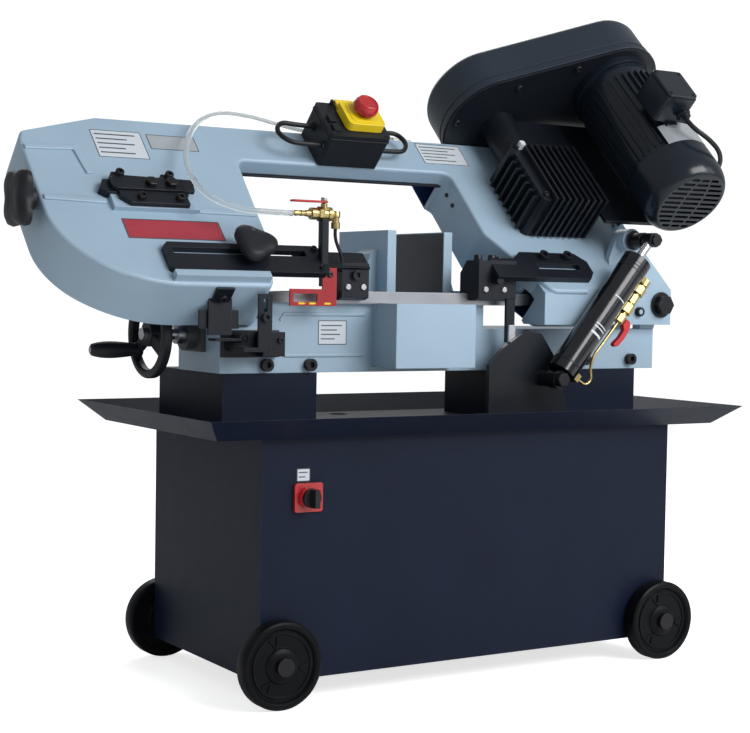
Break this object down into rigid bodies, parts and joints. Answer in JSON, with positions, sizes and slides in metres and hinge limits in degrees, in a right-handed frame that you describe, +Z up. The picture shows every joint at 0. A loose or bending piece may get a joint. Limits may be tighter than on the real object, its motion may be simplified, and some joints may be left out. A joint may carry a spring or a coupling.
{
  "type": "horizontal metal-cutting band saw",
  "caption": "Horizontal band saw on a wheeled cabinet: pivoting cast bow with belt and worm drive, feed cylinder, vice, chip tray and coolant supply.",
  "frame": {"origin": "on the floor, under the middle of the saw's overall length and width", "axes": "+X along the blade towards the motor and the bow's pivot, +Y from the operator to the back, +Z up"},
  "size_m": [1.183, 0.4937, 1.0769],
  "materials": {
    "bow_paint": "semi-gloss",
    "blue_paint": "semi-gloss",
    "navy_paint": "semi-gloss",
    "black_paint": "semi-gloss",
    "red_paint": "semi-gloss",
    "black_plastic": "matte",
    "red_plastic": "gloss",
    "yellow_plastic": "gloss",
    "clear_plastic": "clear",
    "cable_rubber": "matte",
    "wheel_rubber": "matte",
    "steel": "machined",
    "blade_steel": "rolled",
    "chrome": "polished",
    "brass": "machined",
    "cast_iron": "cast"
  },
  "bodies": {
    "stand": {"cabinet": "navy_paint", "wheel_axles": "steel", "coolant_tank": "navy_paint", "coolant_pump": "black_paint", "chip_tray": "navy_paint", "left_pedestal": "navy_paint", "right_pedestal": "navy_paint", "bed": "bow_paint", "bed_bolts": "steel", "hinge_shaft": "steel", "rotary_switch": "red_plastic", "fixed_jaw": "bow_paint", "screw_bearing": "cast_iron", "shutoff_switch": "steel", "cylinder_bracket": "black_paint"},
    "front_left_roller": {"front_left_wheel": "wheel_rubber"},
    "front_right_roller": {"front_right_wheel": "wheel_rubber"},
    "rear_left_roller": {"rear_left_wheel": "wheel_rubber"},
    "rear_right_roller": {"rear_right_wheel": "wheel_rubber"},
    "power_switch": {"rotary_knob": "black_plastic"},
    "vice_jaw": {"movable_jaw": "bow_paint"},
    "vice_screw": {"lead_screw": "steel", "handwheel": "black_plastic"},
    "crank_grip": {"handwheel_grip": "black_plastic"},
    "shutoff_lever": {"shutoff_toggle": "black_plastic"},
    "feed_barrel": {"cylinder_barrel": "black_paint", "feed_valve": "brass"},
    "feed_rod": {"cylinder_rod": "chrome"},
    "feed_handle": {"feed_lever": "red_paint"},
    "bow": {"bow_casting": "bow_paint", "rear_cover": "blue_paint", "blade": "blade_steel", "gearbox_housing": "black_paint", "belt_back_plate": "black_paint", "belt_cover": "black_paint", "motor_body": "black_paint", "fan_cover": "black_paint", "terminal_box": "black_paint", "drive_belt": "cable_rubber", "right_guide": "black_paint", "switch_box": "black_plastic", "trip_bracket": "steel", "control_cables": "cable_rubber", "coolant_hose": "clear_plastic"},
    "motor_rotor": {"motor_pulley": "cast_iron"},
    "worm": {"worm_shaft": "steel", "worm_pulley": "cast_iron"},
    "drive_rotor": {"drive_wheel": "cast_iron", "worm_gear": "brass"},
    "tension_slide": {"idler_carrier": "cast_iron"},
    "idler_rotor": {"idler_wheel": "cast_iron"},
    "tension_screw": {"tension_knob": "black_plastic"},
    "guide_slide": {"guide_arm": "black_paint", "left_guide": "black_paint", "blade_guard": "red_paint", "coolant_valve": "brass"},
    "guide_clamp": {"clamp_knob": "black_plastic"},
    "coolant_handle": {"valve_lever": "red_paint"},
    "stop_flap": {"estop_flap": "yellow_plastic"},
    "stop_button": {"stop_mushroom": "red_plastic"}
  },
  "joints": [
    {"name": "front_left_roll", "type": "hinge", "parent": "stand", "child": "front_left_roller", "pos_m": [-0.256, -0.191, 0.064], "axis": [0, 1, 0], "continuous": true},
    {"name": "front_right_roll", "type": "hinge", "parent": "stand", "child": "front_right_roller", "pos_m": [0.456, -0.191, 0.064], "axis": [0, 1, 0], "continuous": true},
    {"name": "rear_left_roll", "type": "hinge", "parent": "stand", "child": "rear_left_roller", "pos_m": [-0.256, 0.203, 0.064], "axis": [0, 1, 0], "continuous": true},
    {"name": "rear_right_roll", "type": "hinge", "parent": "stand", "child": "rear_right_roller", "pos_m": [0.456, 0.203, 0.064], "axis": [0, 1, 0], "continuous": true},
    {"name": "power_turn", "type": "hinge", "parent": "stand", "child": "power_switch", "pos_m": [-0.206, -0.192, 0.3], "axis": [0, 1, 0], "range_deg": [0, 90]},
    {"name": "jaw_travel", "type": "slide", "parent": "stand", "child": "vice_jaw", "axis": [1, 0, 0], "range_m": [-0.2, 0.085]},
    {"name": "screw_turn", "type": "hinge", "parent": "stand", "child": "vice_screw", "pos_m": [-0.374, 0.006, 0.53], "axis": [1, 0, 0], "range_deg": [-14401, 6121]},
    {"name": "grip_spin", "type": "hinge", "parent": "vice_screw", "child": "crank_grip", "pos_m": [-0.417, 0.05, 0.505], "axis": [1, 0, 0], "continuous": true},
    {"name": "shutoff_tip", "type": "hinge", "parent": "stand", "child": "shutoff_lever", "pos_m": [-0.28, -0.101, 0.527], "axis": [0, 1, 0], "range_deg": [0, 20]},
    {"name": "bow_lift", "type": "hinge", "parent": "stand", "child": "bow", "pos_m": [0.53, -0.029, 0.583], "axis": [0, 1, 0], "range_deg": [0, 60]},
    {"name": "barrel_tilt", "type": "hinge", "parent": "stand", "child": "feed_barrel", "pos_m": [0.257, -0.159, 0.463], "axis": [0, 1, 0], "range_deg": [-0.01, 12.99]},
    {"name": "rod_travel", "type": "slide", "parent": "feed_barrel", "child": "feed_rod", "axis": [0.6438, 0, 0.7652], "range_m": [-0.0001, 0.11008]},
    {"name": "feed_turn", "type": "hinge", "parent": "feed_barrel", "child": "feed_handle", "pos_m": [0.38627, -0.159, 0.56072], "axis": [0.7652, 0, -0.6438], "range_deg": [-90, 0]},
    {"name": "motor_spin", "type": "hinge", "parent": "bow", "child": "motor_rotor", "pos_m": [0.496, 0.02631, 0.9755], "axis": [0, 0.7071, 0.7071], "continuous": true},
    {"name": "worm_spin", "type": "hinge", "parent": "bow", "child": "worm", "pos_m": [0.303, 0.09702, 0.90478], "axis": [0, 0.7071, 0.7071], "continuous": true},
    {"name": "drive_spin", "type": "hinge", "parent": "bow", "child": "drive_rotor", "pos_m": [0.345, 0.01641, 0.68841], "axis": [0, -0.7071, 0.7071], "continuous": true},
    {"name": "tension_travel", "type": "slide", "parent": "bow", "child": "tension_slide", "axis": [1, 0, 0], "range_m": [0, 0.01]},
    {"name": "idler_spin", "type": "hinge", "parent": "tension_slide", "child": "idler_rotor", "pos_m": [-0.389, 0.01641, 0.68841], "axis": [0, -0.7071, 0.7071], "continuous": true},
    {"name": "tension_turn", "type": "hinge", "parent": "bow", "child": "tension_screw", "pos_m": [-0.58, -0.0041, 0.72023], "axis": [1, 0, 0], "range_deg": [-2057.5, 0.5]},
    {"name": "guide_travel", "type": "slide", "parent": "bow", "child": "guide_slide", "axis": [1, 0, 0], "range_m": [-0.03, 0.085], "deforming": ["coolant_hose"]},
    {"name": "clamp_turn", "type": "hinge", "parent": "bow", "child": "guide_clamp", "pos_m": [-0.266, -0.11794, 0.66437], "axis": [0, -0.7071, 0.7071], "range_deg": [0, 360]},
    {"name": "coolant_turn", "type": "hinge", "parent": "guide_slide", "child": "coolant_handle", "pos_m": [-0.15, -0.114, 0.728], "axis": [0, 0, 1], "range_deg": [0, 90]},
    {"name": "flap_lift", "type": "hinge", "parent": "bow", "child": "stop_flap", "pos_m": [-0.001, 0.05954, 0.89983], "axis": [1, 0, 0], "range_deg": [-100, 0]},
    {"name": "stop_press", "type": "slide", "parent": "stop_flap", "child": "stop_button", "axis": [0, 0.7071, -0.7071], "range_m": [0, 0.004], "stiffness_N_per_m": 600}
  ],
  "couplings": [
    {"joint": "screw_turn", "follows": "jaw_travel", "rad_per_m": 1256.6},
    {"joint": "barrel_tilt", "follows": "bow_lift", "ratio": 0.21563},
    {"joint": "rod_travel", "follows": "bow_lift", "m_per_rad": 0.10483},
    {"joint": "worm_spin", "follows": "motor_spin", "ratio": 0.41667},
    {"joint": "drive_spin", "follows": "motor_spin", "ratio": 0.014881},
    {"joint": "idler_spin", "follows": "motor_spin", "ratio": 0.014881},
    {"joint": "tension_turn", "follows": "tension_travel", "rad_per_m": -3590.4}
  ]
}
